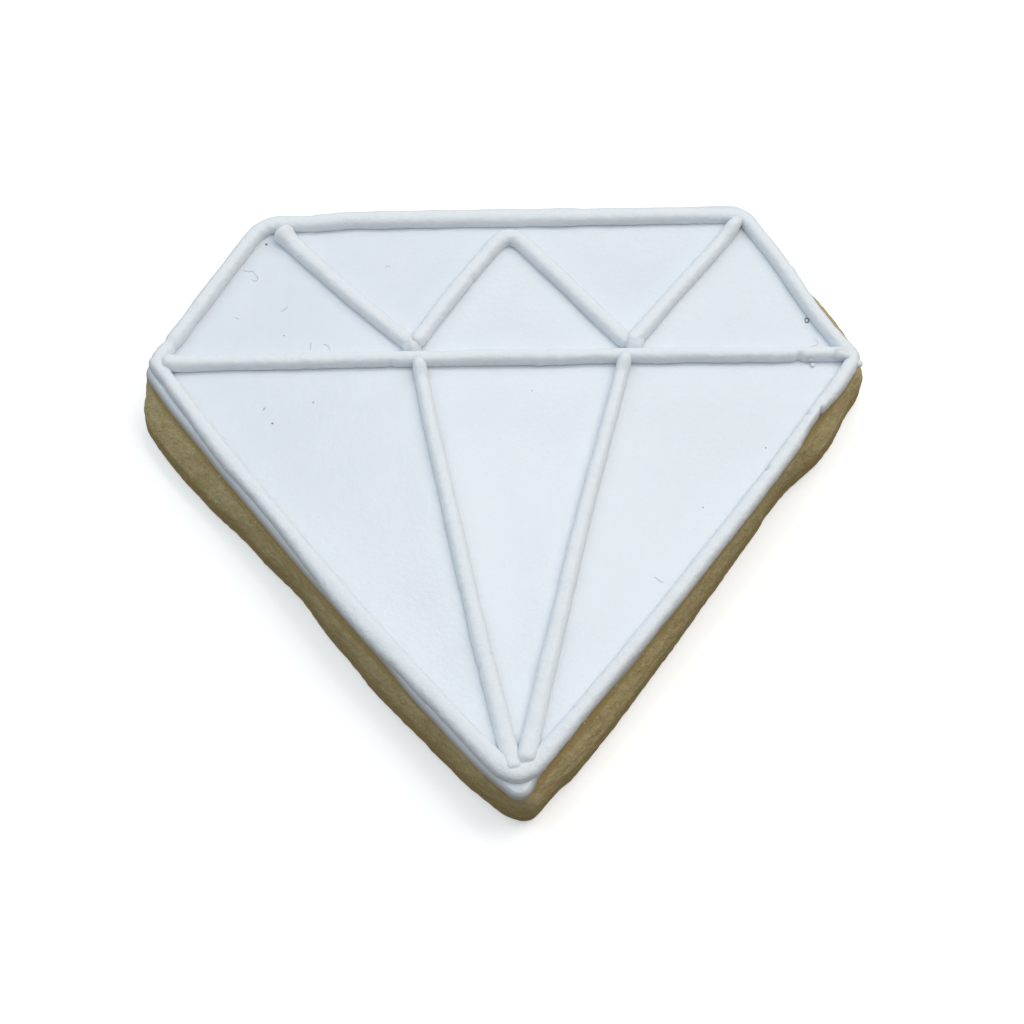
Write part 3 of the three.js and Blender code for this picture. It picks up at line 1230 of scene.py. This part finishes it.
@dataclass
class StrayFibres:
    """Fine fibres that lie stuck on the flooded sheet."""

    name: str = "stray_fibres"
    radius: float = 0.036
    step: float = 0.12
    soften: float = 0.4
    sits: float = 0.6
    sides: int = 6
    fibres: tuple[Fibre, ...] = (
        Fibre(start=(-34.0, 31.9), link=0.35,
              headings=(-10, -25, 0, 30, -60, -70, -30, -75, -100, -150, 160, 110)),
        Fibre(start=(-29.0, 25.6), link=0.33, headings=(25, 40, 50, 60)),
        Fibre(start=(-35.0, 24.9), link=0.4, headings=(-35, -20)),
        Fibre(start=(-25.1, 19.8), link=0.4, headings=(60, 110, 80)),
        Fibre(start=(-23.4, 20.6), link=0.4, headings=(0, -30, -70, -95)),
        Fibre(start=(-15.3, 32.2), link=0.35, headings=(60, 10, -50)),
        Fibre(start=(-31.2, 10.9), link=0.35, headings=(30, 60, 85)),
        Fibre(start=(40.1, 19.6), link=0.45, headings=(20, 5, 60, 110, 170)),
        Fibre(start=(18.1, -13.3), link=0.4, headings=(-15, -55, -45, 10)),
    )

    def build(self, sheet: FloodedIcing, finish: bpy.types.Material) -> bpy.types.Object:
        """Model the fibres.

        Args:
            sheet: the sheet they lie on.
            finish: their material.

        Returns:
            One piece that holds every fibre.
        """
        skin = bmesh.new()
        for fibre in self.fibres:
            spots = [sheet.middle + Vector(fibre.start)]
            for heading in fibre.headings:
                turn = math.radians(heading)
                spots.append(spots[-1] + Vector((math.cos(turn), math.sin(turn))) * fibre.link)
            line = Route(np.array([tuple(spot) for spot in spots]), closed=False, soften=self.soften)
            self._lay(skin, line, sheet)
        made = piece(self.name, skin, finish)
        return made

    def _lay(self, skin: bmesh.types.BMesh, line: Route, sheet: FloodedIcing) -> None:
        """Add one fibre to the mesh.

        Args:
            skin: the fibres' mesh, in metres.
            line: the fibre's own line.
            sheet: the sheet it lies on.
        """
        columns = max(4, round(line.length / self.step))

        def place(column: int, row: int) -> Vector:
            """Place in mm of one column and row of the fibre's skin."""
            distance = line.length * column / columns
            spot, heading = line.point(distance), line.heading(distance)
            turn = 2 * math.pi * (row % self.sides) / self.sides
            radius = 0.0 if column in (0, columns) else self.radius
            side = spot + left_of(heading) * (radius * math.cos(turn))
            height = sheet.top_height(spot) + self.sits * self.radius + radius * math.sin(turn)
            return Vector((side.x, side.y, height))

        lay_on(skin, columns, self.sides, place)


@dataclass(frozen=True)
class Speck:
    """A speck: its place from the sheet's middle, its radius, and how far it stands up."""

    at: tuple[float, float]
    radius: float
    up: float = 0.0


@dataclass
class StraySpecks:
    """Tiny dark specks on the flooded sheet."""

    name: str = "stray_specks"
    flat: float = 0.6
    specks: tuple[Speck, ...] = (
        Speck((-31.0, 35.9), 0.17),
        Speck((-30.9, 11.2), 0.1),
        Speck((-29.8, 9.1), 0.13),
        Speck((-24.6, 12.1), 0.1),
        Speck((-28.5, 22.0), 0.09),
        Speck((33.3, 4.8), 0.1),
        Speck((29.7, -2.9), 0.11),
        Speck((24.8, -3.6), 0.09),
        Speck((10.4, 1.9), 0.1),
        Speck((3.6, 13.5), 0.08),
        Speck((33.2, 1.4), 0.2, up=0.2),
        Speck((33.4, 1.7), 0.17, up=0.25),
    )

    def build(self, sheet: FloodedIcing, finish: bpy.types.Material) -> bpy.types.Object:
        """Model the specks.

        Args:
            sheet: the sheet they lie on.
            finish: their material.

        Returns:
            One piece that holds every speck.
        """
        skin = bmesh.new()
        squash = Matrix.Diagonal((1.0, 1.0, self.flat, 1.0))
        for speck in self.specks:
            spot = sheet.middle + Vector(speck.at)
            centre = Vector((spot.x, spot.y, sheet.top_height(spot) + speck.up)) * MM
            bmesh.ops.create_icosphere(skin, subdivisions=2, radius=speck.radius * MM,
                                       matrix=Matrix.Translation(centre) @ squash)
        made = piece(self.name, skin, finish)
        return made


@dataclass
class BurstBubble:
    """The narrow dark rim of a bubble that burst as the sheet set, in the specks' dark tone: painted
    shade for the pit it left.
    """

    name: str = "burst_bubble"
    at: tuple[float, float] = (39.9, 23.6)
    across: float = 0.24
    along: float = 0.34
    rim: float = 0.075
    columns: int = 28
    sides: int = 10

    def build(self, sheet: FloodedIcing, finish: bpy.types.Material) -> bpy.types.Object:
        """Model the rim.

        Args:
            sheet: the sheet it is in.
            finish: its material.

        Returns:
            The rim.
        """
        centre = sheet.middle + Vector(self.at)

        def place(column: int, row: int) -> Vector:
            """Place in mm of one column and row of the rim's skin."""
            round_it = 2 * math.pi * (column % self.columns) / self.columns
            turn = 2 * math.pi * (row % self.sides) / self.sides
            out = Vector((self.across * math.cos(round_it), self.along * math.sin(round_it)))
            spot = centre + out * (1 + self.rim / self.across * math.cos(turn))
            height = sheet.top_height(centre) + self.rim * math.sin(turn)
            return Vector((spot.x, spot.y, height))

        made = piece(self.name, laid_skin(self.columns, self.sides, place), finish)
        return made


# ---- set ----

@dataclass(frozen=True)
class Softbox:
    """A square lamp that faces the cookie: its place and side in metres, its watts and tint."""

    name: str
    place: tuple[float, float, float]
    side: float
    power: float
    tint: Colour

    def hang(self) -> None:
        """Hang the lamp."""
        data = bpy.data.lights.new(self.name, "AREA")
        data.size = self.side
        data.energy = self.power
        data.color = self.tint
        lamp = bpy.data.objects.new(self.name, data)
        lamp.location = self.place
        lamp.rotation_euler = (-Vector(self.place)).to_track_quat("-Z", "Y").to_euler()
        bpy.context.scene.collection.objects.link(lamp)


@dataclass
class Studio:
    """A pale floor, soft light from overhead, and the camera."""

    floor_size: float = 6.0
    aim_offset: tuple[float, float] = (0.149, -4.251)
    elevation: float = 63.5
    turn: float = -4.0
    roll: float = 2.98
    distance: float = 350.0
    lens: float = 97.5
    room_tint: Colour = (0.94, 0.975, 1.0)
    room_strength: float = 0.36
    lamps: tuple[Softbox, ...] = (
        Softbox("cool_softbox", (-0.42, 0.22, 0.58), 0.6, 1.6, (0.765, 0.895, 1.0)),
        Softbox("warm_softbox", (0.34, 0.22, 0.64), 0.6, 2.78, (1.0, 0.955, 0.895)),
        Softbox("sheen", (0.019, 0.352, 0.73), 0.06, 0.3, (0.95, 0.98, 1.0)),
    )

    def build(self) -> None:
        """Place the floor, the lights and the camera."""
        self._floor()
        self._world()
        for lamp in self.lamps:
            lamp.hang()
        self._camera()
        LOG.info("studio: floor, lights and camera placed")

    def _floor(self) -> None:
        """Lay the floor, apart from the cookie's body."""
        mesh = bmesh.new()
        bmesh.ops.create_grid(mesh, x_segments=1, y_segments=1, size=self.floor_size / 2)
        data = bpy.data.meshes.new("floor")
        mesh.to_mesh(data)
        mesh.free()
        data.materials.append(FloorFinish().build())
        floor = bpy.data.objects.new("floor", data)
        bpy.context.scene.collection.objects.link(floor)

    def _world(self) -> None:
        """Fill the room with even, dim light."""
        world = bpy.data.worlds.new("room")
        world.use_nodes = True
        background = world.node_tree.nodes["Background"]
        background.inputs["Color"].default_value = opaque(self.room_tint)
        background.inputs["Strength"].default_value = self.room_strength
        bpy.context.scene.world = world
        bpy.context.scene.view_settings.view_transform = "Standard"

    def _camera(self) -> None:
        """Set the camera at its viewing angle."""
        tilt, turn = math.radians(self.elevation), math.radians(self.turn)
        back = Vector((math.sin(turn) * math.cos(tilt), -math.cos(turn) * math.cos(tilt),
                       math.sin(tilt)))
        data = bpy.data.cameras.new("camera")
        data.lens = self.lens
        camera = bpy.data.objects.new("camera", data)
        low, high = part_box("piped_border")
        middle = (low + high) / (2 * MM)
        aim = Vector((middle.x + self.aim_offset[0], middle.y + self.aim_offset[1], FLOOD_TOP))
        camera.location = (aim + back * self.distance) * MM
        level_view = (-back).to_track_quat("-Z", "Y").to_matrix()
        rolled = level_view @ Matrix.Rotation(math.radians(self.roll), 3, "Z")
        camera.rotation_euler = rolled.to_euler()
        bpy.context.scene.collection.objects.link(camera)
        bpy.context.scene.camera = camera


# ---- cookie ----

# The biscuit's lower wall tone is partly browning and partly painted shade.
BISCUIT_FINISH = BiscuitFinish(
    name="baked_crumb", crumb=(0.63, 0.52, 0.28), crumb_dark=(0.465, 0.36, 0.165),
    browned_and_shaded=(0.465, 0.355, 0.16), fleck=(0.70, 0.60, 0.38), roughness=0.85,
    grain_size=0.34, grain_depth=0.17, browned_and_shaded_height=4.6)
# The flooded sheet's rim colour below its top is painted shade.
FLOOD_FINISH = IcingFinish(
    name="set_flood_icing", pale=(0.80, 0.845, 0.89), dull=(0.78, 0.825, 0.88), roughness=0.22,
    grain_size=0.16, grain_depth=0.015, painted_rim_shade=(0.59, 0.57, 0.525),
    painted_rim_shade_height=FLOOD_TOP - 0.6)
# The piped lines are the same icing as the sheet but given a paler tone: painted light that lifts
# the shade on their sides.
PIPED_FINISH = IcingFinish(
    name="set_piped_icing", pale=(0.86, 0.895, 0.93), dull=(0.83, 0.87, 0.91), roughness=0.5,
    grain_size=0.26, grain_depth=0.075, glow_reach=0.8)
FIBRE_FINISH = PlainFinish(name="lint", tone=(0.56, 0.59, 0.63), roughness=0.8)
# Dark tone of the real specks, also used as painted shade on the burst bubble's ring.
SPECK_AND_PIT_SHADE_FINISH = PlainFinish(name="dark_speck_and_pit_shade", tone=(0.24, 0.235, 0.235), roughness=0.7)


def main() -> None:
    """Build the cookie, layer by layer, and the set round it."""
    logging.basicConfig(level=logging.INFO)
    grain = CloseGrain().build()
    Biscuit().build(BISCUIT_FINISH.build(grain))
    sheet = FloodedIcing()
    sheet.sag_between([line.route for line in PIPED_LINES])
    sheet.build(FLOOD_FINISH.build(grain))
    piped = PIPED_FINISH.build(grain)
    for line in PIPED_LINES:
        line.build(piped)
    specks = SPECK_AND_PIT_SHADE_FINISH.build()
    StrayFibres().build(sheet, FIBRE_FINISH.build())
    StraySpecks().build(sheet, specks)
    # The bubble's ring takes the specks' dark finish as painted shade.
    BurstBubble().build(sheet, specks)
    Studio().build()


if __name__ == "__main__":
    main()
